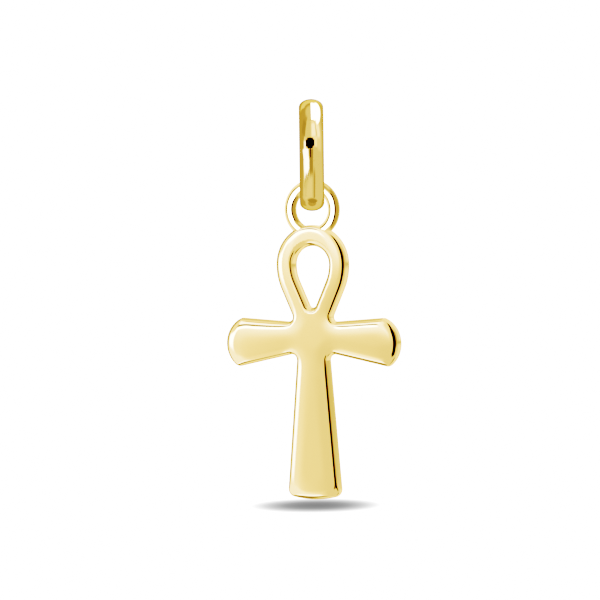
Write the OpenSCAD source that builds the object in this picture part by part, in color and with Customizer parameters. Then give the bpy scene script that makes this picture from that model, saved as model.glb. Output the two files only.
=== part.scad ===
// Ankh cross pendant in polished yellow gold: a cast looped cross with a soldered ring on top,
// hung on a pear-shaped bail.
// Millimetres. The cross faces -Y, +X is its right arm as seen from the front and +Z is up.
// The origin is the top inside of the bail, where the chain bears.

/* [Bail] */
// Height of the pear-shaped bail outside
bail_h = 7.9; // [7.4:0.02:8.4]
// Depth of the bail outside, over its round top
bail_d = 6.2; // [5.6:0.1:6.6]
// Width of the bail's wire
bail_w = 1.74; // [1.5:0.02:1.74]
// How far the wire's rounded outside stands out from its widest line
bail_out = 0.6; // [0.5:0.02:0.7]
// How far the wire's flatter inside stands in from its widest line
bail_in = 0.3; // [0.2:0.02:0.3]
// Radius of the widest line round the bail's narrow bottom
bail_end_r = 1.3; // [1.3:0.05:1.6]
// How far the bail is turned about the vertical from the cross
bail_turn = 25.5; // [0:0.5:26]

/* [Ring] */
// Mean radius of the soldered ring
ring_r = 1.69; // [1.69:0.01:1.76]
// Diameter of the ring's round wire
ring_wire = 0.85; // [0.75:0.01:0.85]
// Height of the bail's widest line above the ring's centre, at the bail's bottom
bail_seat = 0.48; // [0.45:0.01:0.49]
// How far the top of the cross lies below the ring's centre
ring_drop = 1.08; // [0.95:0.01:1.1]

/* [Cross] */
// Height of the cross from the loop's top to the foot
cross_h = 19.36; // [19:0.02:20]
// Width of the cross over both arms
cross_w = 13.54; // [13:0.02:14]
// Thickness of the plate
plate_t = 0.92; // [0.86:0.02:1.1]
// How far in from the outline the rounding of the edges starts
edge_in = 0.5; // [0.3:0.02:0.54]
// How far back from the eye's outline the rounding of its edge starts
eye_edge_in = 0.36; // [0.2:0.02:0.5]
// Radius of the small corners at the arms' ends and the foot
corner_r = 0.56; // [0.55:0.01:0.7]

/* [Loop] */
// Outer radius of the loop's round top
loop_r = 2.8; // [2.7:0.01:2.9]
// Outer radius of the loop's bulging sides
side_r = 4.25; // [4:0.05:4.6]
// Slope of the loop's straight sides from the vertical
side_slope = 24.5; // [23:0.5:26]
// Width of the loop's band
band_w = 1.5; // [1.3:0.02:1.6]
// Radius of the eye's lower tip
tip_r = 0.3; // [0.2:0.02:0.4]

/* [Arms] */
// Depth of the arms' upper roots below the loop's top
arm_top = 6.84; // [6.7:0.02:7]
// Rise of the arms' upper edges towards their ends, in degrees
arm_rise = 4.1; // [2:0.1:6]
// Depth of the arms' lower roots below the loop's top
arm_low = 9.03; // [8.8:0.02:9.2]
// Fall of the arms' lower edges towards their ends, in degrees
arm_fall = 12; // [10:0.5:13]
// Depth of the middle of the arms' ends below the loop's top
arm_mid = 8.36; // [8.2:0.02:8.5]
// Radius of the arms' round ends
arm_end_r = 1.97; // [1.9:0.01:2.2]
// Radius of the hollow corner between the loop and an arm
neck_r = 0.3; // [0.2:0.05:0.4]

/* [Stem] */
// Half the stem's width where it leaves the arms
stem_half = 1.24; // [1.15:0.01:1.35]
// Flare of the stem's sides, in degrees
stem_flare = 4.9; // [4:0.1:5.5]
// Radius of the foot's bowed edge
foot_r = 7.2; // [6:0.1:9]
// Radius of the hollow corner between an arm and the stem
pit_r = 0.4; // [0.2:0.05:0.6]

/* [Hidden] */

// Colour of the polished yellow gold
gold = "#e4c775";
$fn = 96;

// Heights of the centres of the bail's top and bottom, the ring's centre and the cross's top
bail_wire = bail_out + bail_in;
bail_top_r = bail_d / 2 - bail_out;
bail_top_z = bail_in - bail_top_r;
bail_end_z = bail_wire - bail_h + bail_out + bail_end_r;
ring_z = bail_wire - bail_h + bail_out - bail_seat;
top_z = ring_z - ring_drop;
loop_z = top_z - loop_r;
foot_z = top_z - cross_h;

// The bail's widest line is two arcs joined by straight legs that lean in towards the bottom
bail_lean = asin((bail_top_r - bail_end_r) / (bail_top_z - bail_end_z));
leg_l = (bail_top_z - bail_end_z) * cos(bail_lean);

// Steps round the wire's section, degrees between points of the cross's outline, and rings round its edge
wire_steps = 36;
arc_step = 9;
edge_steps = 8;

// A straight edge is [normal angle, distance from the origin along that normal].
// The normal points out of the metal.
function edge_through(angle, x, z) = [angle, x * cos(angle) + z * sin(angle)];

// Point that lies p beyond the first edge and q beyond the second
function beyond(e, f, p, q) =
    let (d = sin(f[0] - e[0]), u = e[1] + p, v = f[1] + q)
    [(u * sin(f[0]) - v * sin(e[0])) / d, (v * cos(e[0]) - u * cos(f[0])) / d];

// Centre of a corner of radius r inside an edge and an arc of radius arc_r round c.
// way is 1 or -1 along the edge.
function corner_centre(e, c, arc_r, r, way) =
    let (
        foot = e[1] - r - c[0] * cos(e[0]) - c[1] * sin(e[0]),
        half = sqrt((arc_r - r) * (arc_r - r) - foot * foot)
    )
    [c[0] + foot * cos(e[0]) - way * half * sin(e[0]), c[1] + foot * sin(e[0]) + way * half * cos(e[0])];

function angle_from(c, p) = atan2(p[1] - c[1], p[0] - c[0]);

// The right half of the cross's straight edges: loop side, arm top, arm bottom and stem side
loop_side_x = loop_r - side_r;
loop_edge = [-side_slope, loop_side_x * cos(side_slope) - loop_z * sin(side_slope) + side_r];
arm_top_edge = edge_through(90 + arm_rise, stem_half, top_z - arm_top);
arm_low_edge = edge_through(-90 - arm_fall, stem_half, top_z - arm_low);
stem_edge = edge_through(stem_flare, stem_half, top_z - arm_low);

// Centres of its arcs
neck_c = beyond(loop_edge, arm_top_edge, neck_r, neck_r);
arm_c = [cross_w / 2 - arm_end_r, top_z - arm_mid];
arm_top_c = corner_centre(arm_top_edge, arm_c, arm_end_r, corner_r, -1);
arm_low_c = corner_centre(arm_low_edge, arm_c, arm_end_r, corner_r, 1);
pit_c = beyond(arm_low_edge, stem_edge, pit_r, pit_r);
foot_c = [0, foot_z + foot_r];
foot_corner_c = corner_centre(stem_edge, foot_c, foot_r, corner_r, -1);
arm_top_a = angle_from(arm_c, arm_top_c);
arm_low_a = angle_from(arm_c, arm_low_c);
foot_a = angle_from(foot_c, foot_corner_c);

// Rows: centre x, centre z, radius, first and last normal, whether the last point is kept.
// A radius is negative where the outline is hollow, so that an inset is always taken off the radius.
OUTER = [
    [0, loop_z, loop_r, 90, 0, false],
    [loop_side_x, loop_z, side_r, 0, -side_slope, true],
    [neck_c[0], neck_c[1], -neck_r, -side_slope, 90 + arm_rise, true],
    [arm_top_c[0], arm_top_c[1], corner_r, 90 + arm_rise, arm_top_a, false],
    [arm_c[0], arm_c[1], arm_end_r, arm_top_a, arm_low_a, false],
    [arm_low_c[0], arm_low_c[1], corner_r, arm_low_a, -90 - arm_fall, true],
    [pit_c[0], pit_c[1], -pit_r, -90 - arm_fall, stem_flare, true],
    [foot_corner_c[0], foot_corner_c[1], corner_r, stem_flare, foot_a, false],
    [0, foot_c[1], foot_r, foot_a, -90, true]
];

// The eye keeps the band's width inside the loop and ends in a small round tip
eye_edge = [loop_edge[0], loop_edge[1] - band_w];
tip_z = (eye_edge[1] - tip_r) / sin(eye_edge[0]);
EYE = [
    [0, loop_z, band_w - loop_r, -90, -180, false],
    [loop_side_x, loop_z, band_w - side_r, -180, -180 - side_slope, true],
    [0, tip_z, -tip_r, -180 - side_slope, -270, true]
];

// Points [x, z] of one arc with an inset into the metal
function arc_points(row, inset) =
    let (n = ceil(abs(row[4] - row[3]) / arc_step), last = row[5] ? n : n - 1)
    [for (i = [0:last]) let (a = row[3] + (row[4] - row[3]) * i / n)
        [row[0] + (row[2] - inset) * cos(a), row[1] + (row[2] - inset) * sin(a)]];

// The right half from its top to its bottom, then the left half back up, clockwise as seen from the front
function half_outline(rows, inset) = [for (row = rows) each arc_points(row, inset)];
function outline(rows, inset) =
    let (half = half_outline(rows, inset), n = len(half))
    concat(half, [for (i = [n - 2:-1:1]) [-half[i][0], half[i][1]]]);

// Points that the rows before row k give, and the last point of the loop's side
function points_before(rows, k) =
    k == 0 ? 0 : points_before(rows, k - 1) + ceil(abs(rows[k - 1][4] - rows[k - 1][3]) / arc_step)
        + (rows[k - 1][5] ? 1 : 0);
side_end = points_before(OUTER, 2) - 1;

// Triangles between neighbouring rings of n points, the first ring starting at point from
function band_faces(from, n, outward) =
    [for (k = [0:edge_steps - 1], i = [0:n - 1])
        let (
            a = from + k * n + i,
            b = from + k * n + (i + 1) % n,
            c = b + n,
            d = a + n
        )
        each (outward ? [[a, d, c], [a, c, b]] : [[a, c, d], [a, b, c]])];

// Triangles of half a flat face: the loop's band between outline o and eye e, then a fan
// round the crossing's middle
function half_face(o, e, middle) =
    concat(
        [for (i = [0:side_end - 1]) each [[o[i], o[i + 1], e[i + 1]], [o[i], e[i + 1], e[i]]]],
        [[o[side_end], o[side_end + 1], e[side_end]]],
        [for (i = [side_end:len(e) - 2]) [o[side_end + 1], e[i + 1], e[i]]],
        [[middle, e[len(e) - 1], o[side_end + 1]]],
        [for (i = [side_end + 1:len(o) - 2]) [middle, o[i], o[i + 1]]]
    );
function flipped(faces) = [for (f = faces) [f[2], f[1], f[0]]];

// Half-ellipse section of the wire: rounder outside, flatter inside
module wire_section() {
    polygon([for (i = [0:wire_steps - 1])
        let (a = 360 * i / wire_steps, depth = cos(a) > 0 ? bail_out : bail_in)
        [depth * cos(a), bail_w / 2 * sin(a)]]);
}

// One arc of the bail, its middle at the given angle from straight down towards +Y
module bail_arc(r, middle, half, z) {
    translate([0, 0, z])
    rotate([0, 90, 0])
    rotate([0, 0, middle - half])
    rotate_extrude(angle = 2 * half)
    translate([r, 0])
    wire_section();
}

// One straight leg of the bail, on the side of -Y or +Y
module bail_leg(side) {
    translate([0, 0, bail_end_z])
    rotate([0, 90, 0])
    rotate([0, 0, side * (90 - bail_lean)])
    translate([bail_end_r, side * leg_l / 2, 0])
    rotate([90, 0, 0])
    linear_extrude(leg_l, center = true)
    wire_section();
}

// Pear-shaped bail that the chain passes through
module bail() {
    color(gold)
    rotate([0, 0, bail_turn])
    union() {
        bail_arc(bail_top_r, 180, 90 + bail_lean, bail_top_z);
        bail_leg(-1);
        bail_leg(1);
        bail_arc(bail_end_r, 0, 90 - bail_lean, bail_end_z);
    }
}

// Flat cast plate of the cross, pierced by the eye, with every edge rounded from face to face
module cross_plate() {
    turns = [for (k = [0:edge_steps]) 180 * k / edge_steps - 90];
    outer_rings = [for (t = turns, p = outline(OUTER, edge_in * (1 - cos(t))))
        [p[0], plate_t / 2 * sin(t), p[1]]];
    eye_rings = [for (t = turns, p = outline(EYE, eye_edge_in * (1 - cos(t))))
        [p[0], plate_t / 2 * sin(t), p[1]]];
    middles = [for (side = [-1, 1]) [0, side * plate_t / 2, arm_c[1]]];
    n = len(outer_rings) / (edge_steps + 1);
    m = len(eye_rings) / (edge_steps + 1);
    eye_from = len(outer_rings);
    front = eye_from + len(eye_rings);
    right_o = [for (i = [0:n / 2]) i];
    left_o = [for (i = [0:n / 2]) (n - i) % n];
    right_e = [for (i = [0:m / 2]) eye_from + i];
    left_e = [for (i = [0:m / 2]) eye_from + (m - i) % m];
    back_n = n * edge_steps;
    back_m = m * edge_steps;
    polyhedron(
        points = concat(outer_rings, eye_rings, middles),
        faces = concat(
            band_faces(0, n, true),
            band_faces(eye_from, m, false),
            half_face(right_o, right_e, front),
            flipped(half_face(left_o, left_e, front)),
            flipped(half_face([for (i = right_o) i + back_n], [for (i = right_e) i + back_m], front + 1)),
            half_face([for (i = left_o) i + back_n], [for (i = left_e) i + back_m], front + 1)
        )
    );
}

// Round wire ring soldered upright into the loop's top
module soldered_ring() {
    translate([0, 0, ring_z])
    rotate([90, 0, 0])
    rotate_extrude()
    translate([ring_r, 0])
    circle(d = ring_wire);
}

// The cross and its ring are one piece of metal
module ankh() {
    color(gold)
    union() {
        cross_plate();
        soldered_ring();
    }
}

bail();
ankh();
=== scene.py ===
"""Ankh cross pendant in polished yellow gold, on its pear-shaped bail, in a white light tent.

Sizes are in millimetres in the part's own frame, and MM turns them into Blender's metres. The cross faces -Y,
+X is its right arm as seen from the front, and the origin is the top inside of the bail.
"""
import math

import bpy
import numpy as np
from mathutils import Matrix, Vector
from mathutils.geometry import delaunay_2d_cdt


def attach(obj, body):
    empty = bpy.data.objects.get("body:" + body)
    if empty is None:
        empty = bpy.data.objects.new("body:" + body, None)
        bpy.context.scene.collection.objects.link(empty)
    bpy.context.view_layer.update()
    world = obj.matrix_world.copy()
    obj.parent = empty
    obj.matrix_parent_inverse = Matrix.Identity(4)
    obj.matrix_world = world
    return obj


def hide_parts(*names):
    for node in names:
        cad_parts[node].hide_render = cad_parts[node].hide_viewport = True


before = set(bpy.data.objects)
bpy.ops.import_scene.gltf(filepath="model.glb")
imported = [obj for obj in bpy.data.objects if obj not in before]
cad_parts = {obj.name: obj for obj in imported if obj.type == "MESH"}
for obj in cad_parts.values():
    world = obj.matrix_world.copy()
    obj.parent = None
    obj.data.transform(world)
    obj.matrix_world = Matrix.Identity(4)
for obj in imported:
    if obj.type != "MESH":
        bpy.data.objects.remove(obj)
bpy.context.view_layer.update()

MM = 0.001
TINY = 1e-6  # below this a length, an angle or a slope's divisor counts as nothing

# ---------------------------------------------------------------- sizes, named as in the part's source
# The bail: its height, depth and width, how far its wire stands out and in from its widest line, the radius of that
# line round the bottom, and how far the bail is turned from the cross.
BAIL_H, BAIL_D, BAIL_W = 7.9, 6.2, 1.74
BAIL_OUT, BAIL_IN, BAIL_END_R, BAIL_TURN = 0.6, 0.3, 1.3, 25.5
# The ring: its radius and wire, how far its centre hangs below the bail's widest line, and the cross below that.
RING_R, RING_WIRE, BAIL_SEAT, RING_DROP = 1.69, 0.85, 0.48, 1.08
# The cross: its height, width and thickness, how far in the roundings of its outer edge and of the eye's edge reach,
# and the radius of its small corners.
CROSS_H, CROSS_W, PLATE_T = 19.36, 13.54, 0.92
EDGE_IN, EYE_EDGE_IN, CORNER_R = 0.5, 0.36, 0.56
# The loop: the radii of its top and sides, the slope of its straight sides, its band, and the eye's lower tip.
LOOP_R, SIDE_R, SIDE_SLOPE, BAND_W, TIP_R = 2.8, 4.25, 24.5, 1.5, 0.3
# The arms: the roots of their edges below the cross's top and the slopes there, the middle and the radius of their
# ends, and the hollow between loop and arm.
ARM_TOP, ARM_RISE, ARM_LOW, ARM_FALL = 6.84, 4.1, 9.03, 12
ARM_MID, ARM_END_R, NECK_R = 8.36, 1.97, 0.3
# The stem: half its width under the arms, its flare, the foot's radius, and the hollow between arm and stem.
STEM_HALF, STEM_FLARE, FOOT_R, PIT_R = 1.24, 4.9, 7.2, 0.4

BAIL_TOP_R = BAIL_D / 2 - BAIL_OUT
BAIL_TOP_Z = BAIL_IN - BAIL_TOP_R
BAIL_LOW_Z = BAIL_OUT + BAIL_IN - BAIL_H + BAIL_OUT  # the lowest point of the bail's widest line
BAIL_END_Z = BAIL_LOW_Z + BAIL_END_R
BAIL_LEAN = math.asin((BAIL_TOP_R - BAIL_END_R) / (BAIL_TOP_Z - BAIL_END_Z))
RING_Z = BAIL_LOW_Z - BAIL_SEAT
TOP_Z = RING_Z - RING_DROP
LOOP_Z = TOP_Z - LOOP_R
FOOT_Z = TOP_Z - CROSS_H


# ---------------------------------------------------------------- small helpers
def linear(hex_colour):
    """An sRGB hex colour as linear RGBA."""
    parts = [int(hex_colour[i:i + 2], 16) / 255 for i in (1, 3, 5)]
    return [c / 12.92 if c <= 0.04045 else ((c + 0.055) / 1.055) ** 2.4 for c in parts] + [1.0]


def add_node(tree, kind, links=None, **settings):
    """A node with its settings. links names its inputs, by name or number, and what feeds each: a socket or a value."""
    node = tree.nodes.new(kind)
    for name, value in settings.items():
        setattr(node, name, value)
    for key, source in (links or {}).items():
        socket = node.inputs[key]
        if isinstance(source, bpy.types.NodeSocket):
            tree.links.new(source, socket)
        else:
            socket.default_value = source
    return node


def new_object(name, data):
    thing = bpy.data.objects.new(name, data)
    bpy.context.scene.collection.objects.link(thing)
    return thing


def cos_sin(degrees):
    return math.cos(math.radians(degrees)), math.sin(math.radians(degrees))


def direction_to(azimuth, elevation):
    """The way to an azimuth and elevation: azimuth 0 is straight out of the cross's face and 90 is its right."""
    (ca, sa), (ce, se) = cos_sin(azimuth), cos_sin(elevation)
    return Vector((sa * ce, -ca * ce, se))


# ---------------------------------------------------------------- the cross's outline
def edge_through(angle, x, z):
    """A straight edge as its normal's angle and its distance from the origin along that normal."""
    c, s = cos_sin(angle)
    return angle, x * c + z * s


def beyond(e, f, p, q):
    """The point that lies p beyond the straight edge e and q beyond the straight edge f."""
    (ce, se), (cf, sf) = cos_sin(e[0]), cos_sin(f[0])
    d = ce * sf - se * cf
    u, v = e[1] + p, f[1] + q
    return (u * sf - v * se) / d, (v * ce - u * cf) / d


def corner_centre(e, c, arc_r, r, way):
    """Centre of a corner of radius r inside the straight edge e and an arc of radius arc_r round c. way is 1 for the
    one to the left of the edge's normal, and -1 for the one to its right."""
    ce, se = cos_sin(e[0])
    foot = e[1] - r - c[0] * ce - c[1] * se
    half = math.sqrt((arc_r - r) ** 2 - foot ** 2)
    return c[0] + foot * ce - way * half * se, c[1] + foot * se + way * half * ce


def angle_from(c, p):
    """Angle of the line from c to p."""
    return math.degrees(math.atan2(p[1] - c[1], p[0] - c[0]))


LOOP_SIDE_X = LOOP_R - SIDE_R
SIDE_COS, SIDE_SIN = cos_sin(SIDE_SLOPE)
loop_edge = (-SIDE_SLOPE, LOOP_SIDE_X * SIDE_COS - LOOP_Z * SIDE_SIN + SIDE_R)
arm_top_edge = edge_through(90 + ARM_RISE, STEM_HALF, TOP_Z - ARM_TOP)
arm_low_edge = edge_through(-90 - ARM_FALL, STEM_HALF, TOP_Z - ARM_LOW)
stem_edge = edge_through(STEM_FLARE, STEM_HALF, TOP_Z - ARM_LOW)

neck_c = beyond(loop_edge, arm_top_edge, NECK_R, NECK_R)
arm_c = (CROSS_W / 2 - ARM_END_R, TOP_Z - ARM_MID)
pit_c = beyond(arm_low_edge, stem_edge, PIT_R, PIT_R)
foot_c = (0, FOOT_Z + FOOT_R)


def outer_rows(r):
    """Arcs of the right half with outer corners of radius r: centre x, centre z, radius, first and last normal.
    A hollow arc has a negative radius."""
    arm_top_c = corner_centre(arm_top_edge, arm_c, ARM_END_R, r, -1)
    arm_low_c = corner_centre(arm_low_edge, arm_c, ARM_END_R, r, 1)
    foot_corner_c = corner_centre(stem_edge, foot_c, FOOT_R, r, -1)
    arm_top_a, arm_low_a = angle_from(arm_c, arm_top_c), angle_from(arm_c, arm_low_c)
    foot_a = angle_from(foot_c, foot_corner_c)
    return [
        (0, LOOP_Z, LOOP_R, 90, 0),
        (LOOP_SIDE_X, LOOP_Z, SIDE_R, 0, -SIDE_SLOPE),
        (*neck_c, -NECK_R, -SIDE_SLOPE, 90 + ARM_RISE),
        (*arm_top_c, r, 90 + ARM_RISE, arm_top_a),
        (*arm_c, ARM_END_R, arm_top_a, arm_low_a),
        (*arm_low_c, r, arm_low_a, -90 - ARM_FALL),
        (*pit_c, -PIT_R, -90 - ARM_FALL, STEM_FLARE),
        (*foot_corner_c, r, STEM_FLARE, foot_a),
        (*foot_c, FOOT_R, foot_a, -90),
    ]


# Arcs of the right half of the eye's outline. Their normals point out of the metal, so their radii are negative.
TIP_Z = -(loop_edge[1] - BAND_W - TIP_R) / SIDE_SIN
EYE_ROWS = [
    (0, LOOP_Z, BAND_W - LOOP_R, -90, -180),
    (LOOP_SIDE_X, LOOP_Z, BAND_W - SIDE_R, -180, -180 - SIDE_SLOPE),
    (0, TIP_Z, -TIP_R, -180 - SIDE_SLOPE, -270),
]
ARC_STEP = 4      # degrees between points on an arc, at most
POINT_GAP = 0.16  # longest step along an edge


def outline(rows):
    """Points on the outline and their normals, clockwise from the top as seen from the front."""
    half = []
    for cx, cz, r, first, last in rows:
        turn = abs(last - first)
        n = max(math.ceil(turn / ARC_STEP), math.ceil(math.radians(turn) * abs(r) / POINT_GAP))
        arc = []
        for i in range(n + 1):
            nx, nz = cos_sin(first + (last - first) * i / n)
            arc.append((cx + r * nx, cz + r * nz, nx, nz))
        if half:
            (x0, z0, nx, nz), (x1, z1, _, _) = half[-1], arc[0]
            length = math.hypot(x1 - x0, z1 - z0)
            if length < TINY:
                arc = arc[1:]
            else:
                m = math.ceil(length / POINT_GAP)
                half += [(x0 + (x1 - x0) * i / m, z0 + (z1 - z0) * i / m, nx, nz) for i in range(1, m)]
        half += arc
    other = [(-x, z, -nx, nz) for x, z, nx, nz in half[-2:0:-1]]
    return np.array(half + other)


# ---------------------------------------------------------------- the cross's plate
# The section of the buffed outer edge, as arcs from its middle inwards. The first goes from 90 degrees to FIRST_LEAN,
# with the radius that follows from the thickness. The others: radius, and the lean in degrees where each ends. The
# last one is the slight crown that buffing leaves on a face.
FIRST_LEAN = 60
EDGE_ARCS = [(0.35, 45), (0.3, 32), (0.5, 20), (0.6, 12), (0.9, 5), (6.0, 0)]
EYE_REACH = 0.45     # the eye's edge is a half-ellipse this deep
WHEEL_SOFT = 0.42    # deep inside, the rounding follows an outline blurred this much, as a buffing wheel leaves it
WHEEL_OVER = 0.4     # the depth over which it goes over to that outline
EDGE_TIGHT = 0.78    # how tight the section's rounding is along most of the edge, 1 being as drawn above
# Places where hand buffing left it otherwise: x, z, how far that reaches, and how much tighter it is there.
HAND_BUFFED = [(0, TOP_Z, 1.7, 1.3), (-4.4, TOP_Z - ARM_TOP, 1.8, -0.22), (6.6, TOP_Z - ARM_MID, 1.4, -0.1)]
EDGE_RINGS = 22      # rings from the outline's middle to the face's points
FACE_GAP = 0.1       # spacing of the points on the faces
FACE_CLEAR = 0.06    # how far these stay from the edges' rings
FIELD_GAP = 0.05     # spacing of the grid that depths are worked out on
FIELD_MARGIN = 0.5   # how far that grid reaches beyond the cross
BELL_REACH = 3       # where the blur's bell curve is cut off, in its own deviations
WELD = 1e-7          # points of a face closer than this count as one

ARC_LEANS = np.radians([90, FIRST_LEAN] + [lean for _, lean in EDGE_ARCS])
arc_radii = np.array([r for r, _ in EDGE_ARCS])
first_height = PLATE_T / 2 - (arc_radii * np.diff(np.cos(ARC_LEANS[1:]))).sum()
ARC_RADII = np.concatenate([[first_height / np.cos(ARC_LEANS[1])], arc_radii])
ARC_DEPTHS = np.concatenate([[0], np.cumsum(-ARC_RADII * np.diff(np.sin(ARC_LEANS)))])
ARC_HEIGHTS = np.concatenate([[0], np.cumsum(ARC_RADII * np.diff(np.cos(ARC_LEANS)))])


def outer_round(depth):
    """Half-thickness and slope at a depth inside the outer outline."""
    depth = np.maximum(depth, 0)
    k = np.clip(np.searchsorted(ARC_DEPTHS, depth, side="right") - 1, 0, len(ARC_RADII) - 1)
    sine = np.clip(np.sin(ARC_LEANS[k]) - (depth - ARC_DEPTHS[k]) / ARC_RADII[k], 0, 1)
    cosine = np.sqrt(1 - sine * sine)
    half = ARC_HEIGHTS[k] + ARC_RADII[k] * (cosine - np.cos(ARC_LEANS[k]))
    return np.minimum(half, PLATE_T / 2), sine / np.maximum(cosine, TINY)


def eye_round(depth):
    """Half-thickness and slope at a depth from the eye's outline."""
    v = np.clip(1 - np.maximum(depth, 0) / EYE_REACH, 0, 1)
    h = np.sqrt(1 - v * v)
    return PLATE_T / 2 * h, PLATE_T / 2 / EYE_REACH * v / np.maximum(h, TINY)


def face_at(outer, eye, tight):
    """Half-thickness and the surface's slopes, from the depth and its slopes for each of the two outlines."""
    (half, steep), (eye_half, eye_steep) = outer_round(outer[0] * tight), eye_round(eye[0])
    steep = steep * tight
    lean = (steep * eye_half)[:, None] * outer[1] + (eye_steep * half)[:, None] * eye[1]
    return half * eye_half / (PLATE_T / 2), -lean / (PLATE_T / 2)


def distance_to(points, loop):
    """Distance of each point to a closed polyline."""
    best = np.full(len(points), np.inf)
    for p, q in zip(loop, np.roll(loop, -1, axis=0)):
        d = q - p
        t = np.clip(((points - p) @ d) / (d @ d), 0, 1)
        best = np.minimum(best, ((points - p - t[:, None] * d) ** 2).sum(1))
    return np.sqrt(best)


def inside(points, loop):
    """Whether each point lies inside a closed polyline."""
    odd = np.zeros(len(points), bool)
    for p, q in zip(loop, np.roll(loop, -1, axis=0)):
        if p[1] != q[1]:
            spans = (p[1] > points[:, 1]) != (q[1] > points[:, 1])
            odd ^= spans & (points[:, 0] < p[0] + (points[:, 1] - p[1]) * (q[0] - p[0]) / (q[1] - p[1]))
    return odd


FIELD_LOW = np.array([-CROSS_W / 2, FOOT_Z]) - FIELD_MARGIN
FIELD_HIGH = np.array([CROSS_W / 2, TOP_Z]) + FIELD_MARGIN
FIELD_SHAPE = np.ceil((FIELD_HIGH - FIELD_LOW) / FIELD_GAP).astype(int) + 1


class Depth:
    """Depth inside a closed polyline, or outside it for a hole, with its slopes, read between a grid's points."""

    def __init__(self, loop, hole=False, blur=0):
        xs, zs = [FIELD_LOW[k] + FIELD_GAP * np.arange(FIELD_SHAPE[k]) for k in (0, 1)]
        points = np.stack(np.meshgrid(xs, zs, indexing="ij"), -1).reshape(-1, 2)
        sign = np.where(inside(points, loop) != hole, 1, -1)
        depth = (sign * distance_to(points, loop)).reshape(FIELD_SHAPE)
        if blur:
            reach = math.ceil(BELL_REACH * blur / FIELD_GAP)
            bell = np.exp(-0.5 * (np.arange(-reach, reach + 1) * FIELD_GAP / blur) ** 2)
            for axis in (0, 1):
                wide = np.pad(depth, [(reach, reach) if k == axis else (0, 0) for k in (0, 1)], "reflect",
                              reflect_type="odd")
                depth = np.apply_along_axis(np.convolve, axis, wide, bell / bell.sum(), "valid")
        self.layers = [depth, *np.gradient(depth, FIELD_GAP)]

    def __call__(self, points):
        at = (points - FIELD_LOW) / FIELD_GAP
        cell = np.clip(at.astype(int), 0, FIELD_SHAPE - 2)
        (u, v), (i, j) = (at - cell).T, cell.T
        value, gx, gz = [f[i, j] * (1 - u) * (1 - v) + f[i + 1, j] * u * (1 - v)
                         + f[i, j + 1] * (1 - u) * v + f[i + 1, j + 1] * u * v for f in self.layers]
        return value, np.stack([gx, gz], -1)


def edge_tightness(points):
    """How tight the edge's rounding is near each point."""
    tight = np.full(len(points), EDGE_TIGHT)
    for x, z, wide, more in HAND_BUFFED:
        tight += more * np.exp(-((points[:, 0] - x) ** 2 + (points[:, 1] - z) ** 2) / wide ** 2)
    return tight


def softened(depth, slope, soft, soft_slope):
    """A depth that goes over from the true outline's to the blurred outline's."""
    t = np.clip(depth / WHEEL_OVER, 0, 1)
    w, dw = t * t * (3 - 2 * t), 6 * t * (1 - t) / WHEEL_OVER
    value = depth * (1 - w) + soft * w
    grade = slope * (1 - w + dw * (soft - depth))[:, None] + soft_slope * w[:, None]
    return value, grade


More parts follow.
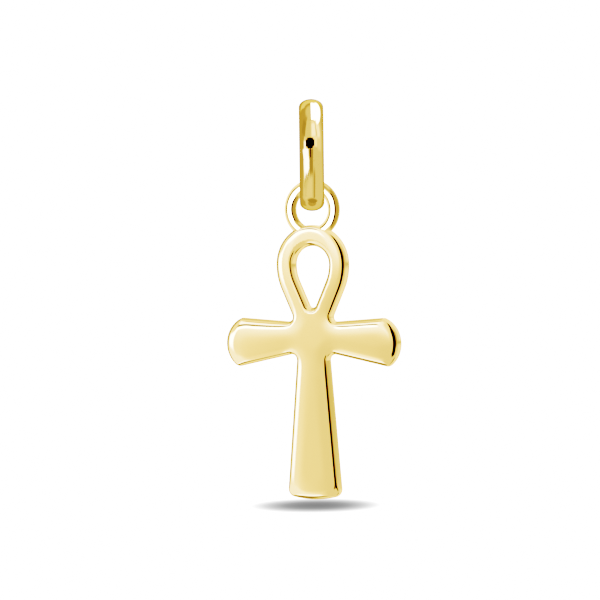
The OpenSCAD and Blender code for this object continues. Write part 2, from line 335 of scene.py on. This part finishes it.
def cross_plate():
    """The plate as one closed mesh with exact normals: rings along its edges, and a dense face inside them."""
    outer, eye = outline(outer_rows(CORNER_R)), outline(EYE_ROWS)[::-1]
    true_depth = Depth(outer[:, :2])
    soft_depth = Depth(outer[:, :2], blur=WHEEL_SOFT)
    eye_depth = Depth(eye[:, :2], hole=True)
    verts, normals, faces, rims = [], [], [], {-1: [], 1: []}

    def add_points(xz, half, lean, side):
        """Points at a height over the middle plane, whose normals lean by the surface's slopes."""
        verts.extend((x, side * h, z) for (x, z), h in zip(xz, half))
        size = np.sqrt((lean ** 2).sum(1) + side * side)
        normals.extend((a / n, side / n, b / n) for (a, b), n in zip(lean, size))

    for edge, inset in ((outer, EDGE_IN), (eye, EYE_EDGE_IN)):
        n, first = len(edge), len(verts)
        for t in np.radians(np.linspace(-90, 90, 2 * EDGE_RINGS + 1)):
            s = inset * (1 - math.cos(t))
            side = round(math.copysign(1, t)) if abs(t) > TINY else 0
            xz = edge[:, :2] - s * edge[:, 2:]
            exact = np.full(n, s), -edge[:, 2:]
            if edge is outer:
                half, lean = face_at(softened(*exact, *soft_depth(xz)), eye_depth(xz), edge_tightness(xz))
            else:
                half, lean = face_at(softened(*true_depth(xz), *soft_depth(xz)), exact, edge_tightness(xz))
            add_points(xz, half, lean, side)
        for k in range(2 * EDGE_RINGS):
            a = first + k * n
            faces += [(a + i, a + (i + 1) % n, a + n + (i + 1) % n, a + n + i) for i in range(n)]
        rims[-1].append(range(first, first + n))
        rims[1].append(range(first + 2 * EDGE_RINGS * n, first + (2 * EDGE_RINGS + 1) * n))

    outer_rim, eye_rim = outer[:, :2] - EDGE_IN * outer[:, 2:], eye[:, :2] - EYE_EDGE_IN * eye[:, 2:]
    rows = np.arange(FOOT_Z, TOP_Z, FACE_GAP * math.sqrt(3) / 2)
    grid = np.array([(x + k % 2 * FACE_GAP / 2, z) for k, z in enumerate(rows)
                     for x in np.arange(-CROSS_W / 2, CROSS_W / 2, FACE_GAP)])
    grid = grid[inside(grid, outer_rim) & ~inside(grid, eye_rim)]
    grid = grid[np.minimum(distance_to(grid, outer_rim), distance_to(grid, eye_rim)) > FACE_CLEAR]
    half, lean = face_at(softened(*true_depth(grid), *soft_depth(grid)), eye_depth(grid), edge_tightness(grid))

    for side in (-1, 1):
        ids = [i for rim in rims[side] for i in rim] + list(range(len(verts), len(verts) + len(grid)))
        add_points(grid, half, lean, side)
        flat = np.array([(verts[i][0], verts[i][2]) for i in ids])
        edges, at = [], 0
        for rim in rims[side]:
            edges += [(at + i, at + (i + 1) % len(rim)) for i in range(len(rim))]
            at += len(rim)
        _, _, triangles, source, _, _ = delaunay_2d_cdt([Vector(p) for p in flat], edges, [], 0, WELD)
        triangles = np.array([[source[i][0] for i in tri] for tri in triangles])
        middles = flat[triangles].mean(axis=1)
        triangles = triangles[inside(middles, outer_rim) & ~inside(middles, eye_rim)]
        a, b, c = flat[triangles].transpose(1, 0, 2)
        turn = (b - a)[:, 0] * (c - a)[:, 1] - (b - a)[:, 1] * (c - a)[:, 0]
        for tri, t in zip(triangles, turn):
            tri = [ids[i] for i in tri]
            faces.append(tri if (t > 0) == (side < 0) else tri[::-1])
    mesh = bpy.data.meshes.new("looped_cross")
    mesh.from_pydata([tuple(c * MM for c in v) for v in verts], [], faces)
    mesh.polygons.foreach_set("use_smooth", [True] * len(mesh.polygons))
    mesh.normals_split_custom_set_from_vertices(normals)
    mesh.update()
    return new_object("looped_cross", mesh)


# ---------------------------------------------------------------- bent wires: the bail and the ring
def wire_tree():
    """Geometry Nodes that sweep a wire's section along a flat closed curve: rounder outside than inside."""
    tree = bpy.data.node_groups.new("bent_wire", "GeometryNodeTree")
    face = tree.interface
    face.new_socket("Path", in_out="INPUT", socket_type="NodeSocketGeometry")
    for name in ("Outside", "Inside", "Half width"):
        face.new_socket(name, in_out="INPUT", socket_type="NodeSocketFloat")
    face.new_socket("Section points", in_out="INPUT", socket_type="NodeSocketInt")
    face.new_socket("Material", in_out="INPUT", socket_type="NodeSocketMaterial")
    face.new_socket("Wire", in_out="OUTPUT", socket_type="NodeSocketGeometry")
    given = add_node(tree, "NodeGroupInput").outputs
    circle = add_node(tree, "GeometryNodeCurvePrimitiveCircle", {"Resolution": given["Section points"], "Radius": 1.0})
    spot = add_node(tree, "ShaderNodeSeparateXYZ", {0: add_node(tree, "GeometryNodeInputPosition").outputs[0]})
    outer = add_node(tree, "FunctionNodeCompare", {0: spot.outputs["X"], 1: 0.0}, operation="GREATER_THAN")
    depth = add_node(tree, "GeometryNodeSwitch", {0: outer.outputs[0], 1: given["Inside"], 2: given["Outside"]},
                     input_type="FLOAT")
    x = add_node(tree, "ShaderNodeMath", {0: spot.outputs["X"], 1: depth.outputs[0]}, operation="MULTIPLY")
    y = add_node(tree, "ShaderNodeMath", {0: spot.outputs["Y"], 1: given["Half width"]}, operation="MULTIPLY")
    place = add_node(tree, "ShaderNodeCombineXYZ", {"X": x.outputs[0], "Y": y.outputs[0]})
    section = add_node(tree, "GeometryNodeSetPosition", {"Geometry": circle.outputs[0], "Position": place.outputs[0]})
    sweep = add_node(tree, "GeometryNodeCurveToMesh", {"Curve": given["Path"], "Profile Curve": section.outputs[0]})
    smooth = add_node(tree, "GeometryNodeSetShadeSmooth", {"Geometry": sweep.outputs[0]})
    real = add_node(tree, "GeometryNodeRealizeInstances", {"Geometry": smooth.outputs[0]})
    finish = add_node(tree, "GeometryNodeSetMaterial", {"Geometry": real.outputs[0], "Material": given["Material"]})
    add_node(tree, "NodeGroupOutput", {0: finish.outputs[0]})
    return tree


def set_inputs(modifier, values):
    """Sets a modifier's named inputs by their sockets' identifiers."""
    for item in modifier.node_group.interface.items_tree:
        if item.in_out == "INPUT" and item.name in values:
            modifier[item.identifier] = values[item.name]


def bent_wire(name, path, section, points, place):
    """A closed gold wire along a flat path, made by the tree, turned into a plain mesh and put in its place. The
    section is how far the wire stands out and in from the path, and half its width."""
    curve = bpy.data.curves.new(name + "_path", "CURVE")
    curve.dimensions = "3D"
    spline = curve.splines.new("POLY")
    spline.points.add(len(path) - 1)
    for point, (x, y) in zip(spline.points, path):
        point.co = (x * MM, y * MM, 0, 1)
    spline.use_cyclic_u = True
    guide = new_object(name + "_path", curve)
    modifier = guide.modifiers.new("bent_wire", "NODES")
    modifier.node_group = WIRE_TREE
    outside, inside, half_width = section
    set_inputs(modifier, {"Outside": outside * MM, "Inside": inside * MM, "Half width": half_width * MM,
                          "Section points": points, "Material": GOLD})
    depsgraph = bpy.context.evaluated_depsgraph_get()
    mesh = bpy.data.meshes.new_from_object(guide.evaluated_get(depsgraph))
    mesh.name = name
    bpy.data.objects.remove(guide)
    bpy.data.curves.remove(curve)
    mesh.transform(place)
    return new_object(name, mesh)


LEG_BULGE = 0.04     # how far the bail's legs bow outwards
LEG_GAP = 0.12       # longest step along a leg
PEAR_STEP = 2        # degrees between points round the bail's top and bottom, at most
BAIL_POINTS = 72     # points round the bail's section
RING_POINTS = 64     # points round the ring's section
RING_STEPS = 144     # points round the ring
RING_FLAT = 0.16     # the ring's foot is dressed this much flatter, to lie within the plate
FLAT_FROM, FLAT_DEEP = 0.9, 1.0  # that starts this far under the ring's centre, and is full so much further down


def pear_path():
    """The bail's widest line, drawn flat: x to its front, y up. Its legs bow outwards a little."""
    lean = math.degrees(BAIL_LEAN)
    leg_steps = math.ceil((BAIL_TOP_Z - BAIL_END_Z) * math.cos(BAIL_LEAN) / LEG_GAP)

    def arc(r, y, first, last):
        n = math.ceil((last - first) / PEAR_STEP)
        return [(r * c, y + r * s) for c, s in (cos_sin(first + (last - first) * i / n) for i in range(n + 1))]

    def leg(p, q):
        out = Vector((q[1] - p[1], p[0] - q[0])).normalized()
        return [tuple(Vector(p).lerp(Vector(q), t) + 4 * t * (1 - t) * LEG_BULGE * out)
                for t in (i / leg_steps for i in range(1, leg_steps))]

    top = arc(BAIL_TOP_R, BAIL_TOP_Z, -lean, 180 + lean)
    foot = arc(BAIL_END_R, BAIL_END_Z, 180 + lean, 360 - lean)
    return top + leg(top[-1], foot[0]) + foot + leg(foot[-1], top[0])


def ring_path():
    """The ring's middle line, drawn flat: x to its right, y up."""
    return [(RING_R * c, RING_Z + RING_R * s) for c, s in (cos_sin(360 * i / RING_STEPS) for i in range(RING_STEPS))]


def flatten_foot(mesh):
    for vertex in mesh.vertices:
        t = min(1, max(0, (RING_Z - FLAT_FROM - vertex.co.z / MM) / FLAT_DEEP))
        vertex.co.y *= 1 - RING_FLAT * t * t * (3 - 2 * t)


# ---------------------------------------------------------------- finish
GOLD_FACE = "#ffcb7c"                 # what yellow gold mirrors straight on
GOLD_RIM = "#ffebbc"                  # its tint at a slant, so that outlines stay gold where they would go white
WAVE_LONG, WAVE_DEEP = 2.6, 0.0016    # hand buffing leaves waves this long and deep
LINE_WIDE, LINE_LONG = 0.11, 1.8      # buffing lines, drawn wider than real ones so that they show at all
LINE_DEEP, LINE_TURN = 0.00005, 8     # and how deep they are, and their turn from the vertical in degrees
HAZE_LONG = 1.1                       # spots of this size where the mirror is a little softer
HAZE_LOW, HAZE_HIGH = 0.35, 0.7       # the noise levels between which they set in
MIRROR_ROUGH, HAZE_ROUGH = 0.04, 0.075


def polished_gold():
    """Mirror-polished yellow gold, cast and buffed by hand. The eye gets a deep warm mirror whose reflections waver
    slightly, hair-fine lines along the buffing, and faint softer spots."""
    material = bpy.data.materials.new("polished_yellow_gold")
    material.use_nodes = True
    tree = material.node_tree
    tree.nodes.clear()
    place = add_node(tree, "ShaderNodeTexCoord").outputs["Object"]
    waves = add_node(tree, "ShaderNodeTexNoise", {"Vector": place, "Scale": 1 / (WAVE_LONG * MM), "Detail": 1.0})
    turned = add_node(tree, "ShaderNodeMapping", {
        "Vector": place, "Rotation": (0, math.radians(LINE_TURN), 0),
        "Scale": (1 / (LINE_WIDE * MM), 1 / (LINE_WIDE * MM), 1 / (LINE_LONG * MM))})
    lines = add_node(tree, "ShaderNodeTexNoise", {"Vector": turned.outputs[0], "Scale": 1.0, "Detail": 2.0})
    haze = add_node(tree, "ShaderNodeTexNoise", {"Vector": place, "Scale": 1 / (HAZE_LONG * MM), "Detail": 3.0})
    rough = add_node(tree, "ShaderNodeMapRange", {"Value": haze.outputs[0], "From Min": HAZE_LOW,
                                                  "From Max": HAZE_HIGH, "To Min": MIRROR_ROUGH, "To Max": HAZE_ROUGH})
    wavy = add_node(tree, "ShaderNodeBump", {"Height": waves.outputs[0], "Distance": WAVE_DEEP * MM, "Strength": 1.0})
    lined = add_node(tree, "ShaderNodeBump", {"Height": lines.outputs[0], "Distance": LINE_DEEP * MM, "Strength": 1.0,
                                              "Normal": wavy.outputs[0]})
    shader = add_node(tree, "ShaderNodeBsdfPrincipled", {
        "Base Color": linear(GOLD_FACE), "Specular Tint": linear(GOLD_RIM), "Metallic": 1.0,
        "Roughness": rough.outputs[0], "Normal": lined.outputs[0]})
    add_node(tree, "ShaderNodeOutputMaterial", {"Surface": shader.outputs[0]})
    return material


GOLD = polished_gold()
WIRE_TREE = wire_tree()

UPRIGHT = Matrix.Rotation(math.radians(90), 4, "X")  # flat x and y become X and Z
TURNED = Matrix.Rotation(math.radians(BAIL_TURN - 90), 4, "Z") @ UPRIGHT  # the bail's front is at BAIL_TURN
bail = bent_wire("pear_bail", pear_path(), (BAIL_OUT, BAIL_IN, BAIL_W / 2), BAIL_POINTS, TURNED)
ring = bent_wire("soldered_ring", ring_path(), (RING_WIRE / 2,) * 3, RING_POINTS, UPRIGHT)
flatten_foot(ring.data)
cross = cross_plate()
cross.data.materials.append(GOLD)

for piece, body, node in ((bail, "bail", "bail"), (ring, "cross", "ankh"), (cross, "cross", "ankh")):
    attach(piece, body)
    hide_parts(node)

# ---------------------------------------------------------------- camera, as a long lens sees it
PICTURE = 600                 # pixels across the square picture
SCALE = 14.2                  # pixels to a millimetre
AXIS_X, TOP_ROW = 313.3, 98.9  # where the pendant's axis crosses the picture's middle row, and the bail's top row
VIEW_TURN, VIEW_RISE, VIEW_ROLL = 25.5, 1.5, 0.7  # azimuth, elevation and tilt, in degrees
CAMERA_AWAY = 500             # from the pendant's axis
TARGET_Z = BAIL_OUT + BAIL_IN - (PICTURE / 2 - TOP_ROW) / SCALE  # height seen in the picture's middle row
MIDDLE = Vector((0, 0, TARGET_Z * MM))


def studio_camera():
    data = bpy.data.cameras.new("camera")
    data.sensor_width = 36
    data.lens = data.sensor_width * CAMERA_AWAY / (PICTURE / SCALE)
    data.clip_start, data.clip_end = 0.01, 10
    camera = new_object("camera", data)
    back = direction_to(VIEW_TURN, VIEW_RISE)
    right = direction_to(VIEW_TURN + 90, 0)
    turn = Matrix((right, back.cross(right), back)).transposed() @ Matrix.Rotation(math.radians(-VIEW_ROLL), 3, "Z")
    side = (PICTURE / 2 - AXIS_X) / SCALE * MM
    camera.matrix_world = Matrix.LocRotScale(MIDDLE + side * turn.col[0] + back * CAMERA_AWAY * MM, turn, None)
    bpy.context.scene.camera = camera


studio_camera()

# ---------------------------------------------------------------- light tents
# In the photo bail, ring and cross mirror different surroundings, so each piece has a tent of its own.
# A tent starts with its brightness between the patches. Each patch: azimuth and elevation of its middle, half its
# width and height, how soft its rim is, all in degrees, and its brightness. A later patch lies over the ones before.
TENTS = {
    "pear_bail": [
        0.78,
        (-90, 18, 68, 48, 14, 0.41),  # the gold on the bail's left side
        (117, 72, 89, 27, 6, 5.00),  # the white on its top right
        (45, 49, 32, 13, 10, 1.50),
        (150, 12, 30, 28, 14, 0.55),
        (180, -6, 34, 26, 12, 0.45),
        (-140, 42, 30, 12, 10, 0.95),
        (0, -80, 180, 10, 8, 0.42),  # the floor
        (20, 38, 38, 23, 5, 0.80),
        (42, 38, 17, 20, 16, 1.70),
        (80, 30, 16, 18, 20, 1.60),
        (60, 36, 3.5, 22, 3, 0.78),
        (20, 63, 36, 1.6, 2, 0.74),
        (-38, 36, 18, 16, 10, 0.33),
        (84, 2, 16, 12, 12, 1.05),
        (53, 8, 12, 13, 6, 1.40),
        (-19, 12, 9, 6, 5, 1.00),
        (-48, -40, 10, 8, 6, 0.85),
        (-12, -50, 38, 5, 5, 0.92),
        (-21, -2, 9, 12, 8, 2.00),  # the white sheet down its left leg
        (-20, -21, 23, 13, 7, 2.40),
        (-25, -34.5, 12, 2.6, 1, 2.60),
        (-10, -36, 13, 5, 1, 2.80),
        (-36, -37.6, 8, 0.7, 1, 0.40),
        (-22, -40, 7, 0.8, 1, 0.40),
        (-8, -42.5, 8, 0.8, 1, 0.42),
        (48, -50, 8, 8, 5, 0.42),
        (22, -28, 14, 17, 4, 0.33),  # the darker gold beside that
        (18, -19, 3.6, 15, 3, 0.06),  # the thin line under the port
        (35, -74, 75, 13, 10, 0.33),
        (-95, -38, 22, 18, 12, 0.46),
        (15.5, 5, 29, 8.5, 3, 0.01),  # the dark port, in four patches
        (16.5, 12, 19, 6, 3, 0.01),
        (16.5, 13, 9, 5.6, 3, 0.01),
        (16, -4, 18, 5, 3, 0.01),
    ],
    "soldered_ring": [
        1.00,
        (90, 0, 46, 60, 12, 0.42),
        (-2, -4, 33, 32, 8, 6.00),
        (-102, 10, 26, 45, 8, 1.60),
        (-66, -5, 8, 10, 6, 0.70),
        (-53, 12, 12, 15, 4, 0.25),
        (30, 60, 30, 16, 10, 0.55),
        (152, 5, 20, 40, 10, 0.80),
        (46, -2, 14, 45, 5, 0.03),  # the dark port
    ],
    "looped_cross": [
        1.36,
        (163, 39, 65, 41, 27, 1.50),
        (161, 3, 21, 26, 18, 1.15),
        (-105, -45, 67, 21, 13, 0.80),
        (48, 20, 39, 25, 15, 1.00),
        (30, -4, 13, 32, 14, 0.38),  # the dark gold beside the port
        (82, 1, 48, 4, 10, 0.66),  # the gold down the stem's right wall, with the next
        (154, -1, 18, 4, 9, 0.70),
        (-130, 34, 29, 54, 12, 1.80),
        (-50, -5, 12, 12, 8, 3.40),
        (-107, 10, 37, 36, 6, 0.50),  # the thin gold outlines on the left
        (-7, -47, 72, 39, 16, 0.95),
        (-51, -27, 26, 20, 16, 1.70),
        (-40, -41, 13, 6, 4, 2.10),
        (-125, -55, 20, 8, 6, 0.50),
        (-70, -60, 36, 8, 6, 0.20),
        (-7, -9, 19, 10, 12, 0.95),
        (-23, 17, 12, 17, 11, 1.90),
        (-68, 48, 47, 5, 6, 1.24),
        (-43, 62, 56, 15, 8, 1.30),
        (-100, 62, 45, 16, 6, 0.80),
        (0, 79, 180, 11, 6, 1.40),  # the ceiling
        (55, -66, 18, 24, 12, 0.30),
        (-33, 10, 11, 4, 3, 3.20),
        (-33, 27, 14, 5, 4, 2.20),
        (-30, 40, 10, 3, 2, 0.70),
        (-35, 18, 13, 4.4, 3, 0.40),
        (14.5, 10, 9.5, 36, 4, 0.02),  # the dark port, seen as black lines on the right edges
    ],
}


# The box of lamps round the pendant that a tent is drawn on: half its side, and its sides as azimuth and elevation.
TENT_HALF = 120
BOX_SIDES = [(0, 0), (90, 0), (180, 0), (-90, 0), (0, 90), (0, -90)]
# The brightest patches shine cooler, so that highlights go to white as they do in the photo.
COOL_FROM, COOL_TO, COOL_TINT = 1.15, 2.3, (1, 1.5, 3.1, 1)
WHITE = (1, 1, 1, 1)


def patch_mask(tree, direction, rise, patch):
    """How much of a patch shows in a direction: 1 inside it and 0 outside, with a soft rim."""
    azimuth, elevation, half_turn, half_rise, soft, _ = patch
    c, s = cos_sin(azimuth)
    across = add_node(tree, "ShaderNodeVectorMath", {0: direction, 1: (c, s, 0)}, operation="DOT_PRODUCT")
    ahead = add_node(tree, "ShaderNodeVectorMath", {0: direction, 1: (s, -c, 0)}, operation="DOT_PRODUCT")
    turn = add_node(tree, "ShaderNodeMath", {0: across.outputs["Value"], 1: ahead.outputs["Value"]},
                    operation="ARCTAN2")
    lift = add_node(tree, "ShaderNodeMath", {0: rise, 1: math.radians(elevation)}, operation="SUBTRACT")
    masks = []
    for off, half in ((turn, half_turn), (lift, half_rise)):
        away = add_node(tree, "ShaderNodeMath", {0: off.outputs[0]}, operation="ABSOLUTE")
        rim = add_node(tree, "ShaderNodeMapRange", {
            "Value": away.outputs[0], "From Min": math.radians(half - soft / 2),
            "From Max": math.radians(half + soft / 2), "To Min": 1.0, "To Max": 0.0}, interpolation_type="SMOOTHSTEP")
        masks.append(rim.outputs[0])
    return add_node(tree, "ShaderNodeMath", {0: masks[0], 1: masks[1]}, operation="MULTIPLY").outputs[0]


def brightness_towards(tree, direction, level, patches):
    """The tent's brightness in a direction: its own level, with soft patches laid one over another."""
    z = add_node(tree, "ShaderNodeSeparateXYZ", {0: direction}).outputs["Z"]
    rise = add_node(tree, "ShaderNodeMath", {0: z}, operation="ARCSINE").outputs[0]
    for patch in patches:
        mask = patch_mask(tree, direction, rise, patch)
        level = add_node(tree, "ShaderNodeMix", {0: mask, 2: level, 3: patch[-1]}, data_type="FLOAT").outputs[0]
    return level


def only(thing):
    """A group of one object, for a lamp that lights nothing else."""
    group = bpy.data.collections.new(f"lit_{thing.name}")
    group.objects.link(thing)
    return group


def light_tent(piece):
    """A box of square area lamps round the pendant that this piece alone mirrors. All six show one pattern by
    direction from the pendant's middle, so they share their data."""
    data = bpy.data.lights.new(f"tent_{piece.name}", "AREA")
    data.shape = "SQUARE"
    data.size = 2 * TENT_HALF * MM
    data.energy = math.pi * data.size ** 2  # so that a strength of 1 is seen as 1
    data.use_nodes = True
    tree = data.node_tree
    tree.nodes.clear()
    spot = add_node(tree, "ShaderNodeNewGeometry").outputs["Position"]
    away = add_node(tree, "ShaderNodeVectorMath", {0: spot, 1: MIDDLE}, operation="SUBTRACT").outputs[0]
    direction = add_node(tree, "ShaderNodeVectorMath", {0: away}, operation="NORMALIZE").outputs[0]
    level, *patches = TENTS[piece.name]
    level = brightness_towards(tree, direction, level, patches)
    bright = add_node(tree, "ShaderNodeMapRange", {"Value": level, "From Min": COOL_FROM, "From Max": COOL_TO})
    cool = add_node(tree, "ShaderNodeMath", {0: bright.outputs[0], 1: 2.0}, operation="POWER")
    tint = add_node(tree, "ShaderNodeMix", {0: cool.outputs[0], 6: WHITE, 7: COOL_TINT}, data_type="RGBA")
    light = add_node(tree, "ShaderNodeEmission", {"Color": tint.outputs[2], "Strength": level})
    add_node(tree, "ShaderNodeOutputLight", {"Surface": light.outputs[0]})
    lit = only(piece)
    for i, side in enumerate(BOX_SIDES):
        lamp = new_object(f"tent_{piece.name}_{i}", data)
        back = direction_to(*side)
        lamp.location = MIDDLE + back * TENT_HALF * MM
        lamp.rotation_euler = back.to_track_quat("Z", "Y").to_euler()
        lamp.visible_camera = False
        lamp.light_linking.receiver_collection = lit


for piece in (bail, ring, cross):
    light_tent(piece)
    piece.visible_diffuse = False  # no golden glow on the white paper
    piece.visible_glossy = False   # each mirrors its own tent only, as the sharp curves between them would sparkle

# ---------------------------------------------------------------- paper behind and below
PAPER_WHITE = 3.0                     # brightness of the paper behind, past the picture's white
PAPER_GREY = (0.9, 0.9, 0.9, 1)       # colour of the paper below
FLOOR_HALF, FLOOR_GAP = 400, 0.15     # half the side of the paper below, and how far it lies under the foot
FLOOR_Z = FOOT_Z - FLOOR_GAP
# The photo's shadow is a soft oval before the foot. At this low angle no shadow that so thin a pendant casts has that
# form, so the lamp over the paper is dimmed by an oval flag, and the pendant casts no shadow from it.
SHADE_WIDE, SHADE_DEEP = 4.6, 9.2     # half the oval's width and depth
SHADE_AHEAD = 5.0                     # how far before the foot its middle lies
SHADE_DARK = 3.6                      # exp(-3.6) of the light is left in its middle
LAMP_HIGH, LAMP_POWER, LAMP_SPREAD = 2000, 540, 70  # in mm, in watts, and its cone in degrees
SKY_POWER, SKY_SPREAD = 0.4, 120                    # in watts to a square metre, and in degrees


def paper_behind():
    """The camera sees pure white paper behind the pendant. The metal mirrors only the tents."""
    world = bpy.data.worlds.new("white_paper")
    bpy.context.scene.world = world
    world.use_nodes = True
    tree = world.node_tree
    tree.nodes.clear()
    path = add_node(tree, "ShaderNodeLightPath")
    seen = add_node(tree, "ShaderNodeMath", {0: path.outputs["Is Camera Ray"], 1: PAPER_WHITE}, operation="MULTIPLY")
    sky = add_node(tree, "ShaderNodeBackground", {"Color": WHITE, "Strength": seen.outputs[0]})
    add_node(tree, "ShaderNodeOutputWorld", {"Surface": sky.outputs[0]})


def paper_below():
    """A square of matt white paper, which gives the eye an even white with no gloss."""
    mesh = bpy.data.meshes.new("floor")
    half = FLOOR_HALF * MM
    corners = [(x * half, y * half, FLOOR_Z * MM) for x, y in ((-1, -1), (1, -1), (1, 1), (-1, 1))]
    mesh.from_pydata(corners, [], [(0, 1, 2, 3)])
    paper = bpy.data.materials.new("matt_white_paper")
    paper.use_nodes = True
    shader = paper.node_tree.nodes["Principled BSDF"]
    shader.inputs["Base Color"].default_value = PAPER_GREY
    shader.inputs["Roughness"].default_value = 1.0
    mesh.materials.append(paper)
    sheet = new_object("floor", mesh)
    sheet.visible_glossy = False
    return sheet


def lamp_over_paper(lit):
    """A lamp high above the paper. A flag leaves exp(-SHADE_DARK * (1 - far)) of its light, where far is the square
    of the distance from the oval's middle, 1 at its rim. From there on it leaves all of it."""
    data = bpy.data.lights.new("spot_over_floor", "SPOT")
    data.energy = LAMP_POWER
    data.spot_size = math.radians(LAMP_SPREAD)
    data.shadow_soft_size = 0
    data.use_nodes = True
    tree = data.node_tree
    tree.nodes.clear()
    ray = add_node(tree, "ShaderNodeSeparateXYZ", {0: add_node(tree, "ShaderNodeTexCoord").outputs["Normal"]}).outputs
    squares = []
    for axis, half in (("X", SHADE_WIDE), ("Y", SHADE_DEEP)):
        slope = add_node(tree, "ShaderNodeMath", {0: ray[axis], 1: ray["Z"]}, operation="DIVIDE")
        part = add_node(tree, "ShaderNodeMath", {0: slope.outputs[0], 1: LAMP_HIGH / half}, operation="MULTIPLY")
        squares.append(add_node(tree, "ShaderNodeMath", {0: part.outputs[0], 1: 2.0}, operation="POWER").outputs[0])
    far = add_node(tree, "ShaderNodeMath", {0: squares[0], 1: squares[1]}, operation="ADD")
    near = add_node(tree, "ShaderNodeMath", {0: 1.0, 1: far.outputs[0]}, operation="SUBTRACT")
    dim = add_node(tree, "ShaderNodeMath", {0: near.outputs[0], 1: 0.0}, operation="MAXIMUM")
    less = add_node(tree, "ShaderNodeMath", {0: dim.outputs[0], 1: -SHADE_DARK}, operation="MULTIPLY")
    left = add_node(tree, "ShaderNodeMath", {0: less.outputs[0]}, operation="EXPONENT")
    light = add_node(tree, "ShaderNodeEmission", {"Color": WHITE, "Strength": left.outputs[0]})
    add_node(tree, "ShaderNodeOutputLight", {"Surface": light.outputs[0]})
    lamp = new_object("spot_over_floor", data)
    lamp.location = (direction_to(VIEW_TURN, 0) * SHADE_AHEAD + Vector((0, 0, FLOOR_Z + LAMP_HIGH))) * MM
    lamp.rotation_euler = 0, 0, math.radians(VIEW_TURN)
    lamp.light_linking.receiver_collection = lit
    lamp.light_linking.blocker_collection = lit


def sky_over_paper(lit):
    """A wide soft light that keeps the oval's middle from going black."""
    data = bpy.data.lights.new("sky_over_floor", "SUN")
    data.energy = SKY_POWER
    data.angle = math.radians(SKY_SPREAD)
    new_object("sky_over_floor", data).light_linking.receiver_collection = lit


paper_behind()
floor = paper_below()
floor_only = only(floor)
lamp_over_paper(floor_only)
sky_over_paper(floor_only)

# ---------------------------------------------------------------- picture's tone
# Brightness in the scene, and what the picture shows for it, from black to white at TONE_WHITE: the photo's deep
# shadows and its slow rise from gold to white.
TONE_WHITE = 2.6
TONE = [(0.04, 0.004), (0.08, 0.027), (0.12, 0.10), (0.20, 0.27), (0.30, 0.41), (0.40, 0.53), (0.62, 0.67),
        (0.80, 0.74), (1.04, 0.82), (1.74, 0.93)]
view_settings = bpy.context.scene.view_settings
view_settings.view_transform = "Standard"
view_settings.use_curve_mapping = True
tone = view_settings.curve_mapping
tone.white_level = (TONE_WHITE,) * 3
tone.extend = "HORIZONTAL"
curve = tone.curves[3]  # the one for all three colours, which starts with black at 0 and white at 1
for x, y in TONE:
    curve.points.new(x / TONE_WHITE, y)
tone.update()
